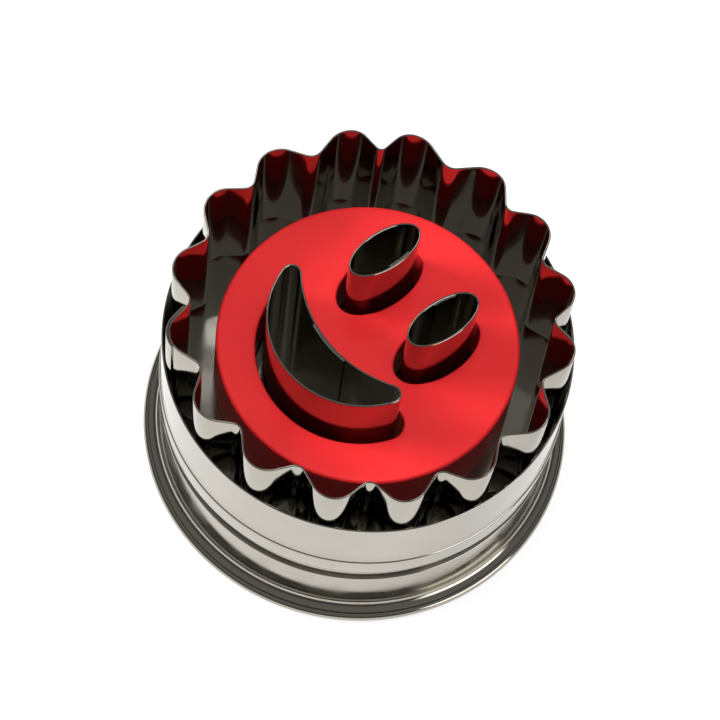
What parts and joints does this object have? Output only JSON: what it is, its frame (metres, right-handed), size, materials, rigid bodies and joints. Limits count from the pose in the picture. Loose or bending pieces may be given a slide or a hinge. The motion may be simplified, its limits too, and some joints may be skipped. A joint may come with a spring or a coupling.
{
  "type": "linzer cookie cutter",
  "caption": "Round fluted linzer cookie cutter in polished steel with smiling-face cut-outs, a red ejector disc, a flanged grip and a sprung push plate at the back.",
  "frame": {"origin": "middle of the rolled rim's flat underside, where the cutter stands", "axes": "+Z towards the cutting edges, +Y up the smiling face, from mouth to eyes, +X to the face's right as seen from above"},
  "size_m": [0.055, 0.055, 0.0339],
  "materials": {
    "polished_steel": "mirror polished",
    "red_plastic": "satin gloss",
    "screw_steel": "bright",
    "spring_steel": "bright"
  },
  "bodies": {
    "housing": {"fluted_cutter_ring": "polished_steel", "left_eye_cutter": "polished_steel", "right_eye_cutter": "polished_steel", "mouth_cutter": "polished_steel", "collar_band": "polished_steel", "base_pan": "polished_steel", "grip_shell": "polished_steel", "return_spring": "spring_steel"},
    "ejector": {"ejector_disc": "red_plastic", "push_plate": "red_plastic", "push_plate_screws": "screw_steel"}
  },
  "joints": [
    {"name": "ejector_slide", "type": "slide", "parent": "housing", "child": "ejector", "axis": [0, 0, 1], "range_m": [0, 0.0087], "stiffness_N_per_m": 145, "springref_m": -0.009, "deforming": ["return_spring"]}
  ]
}
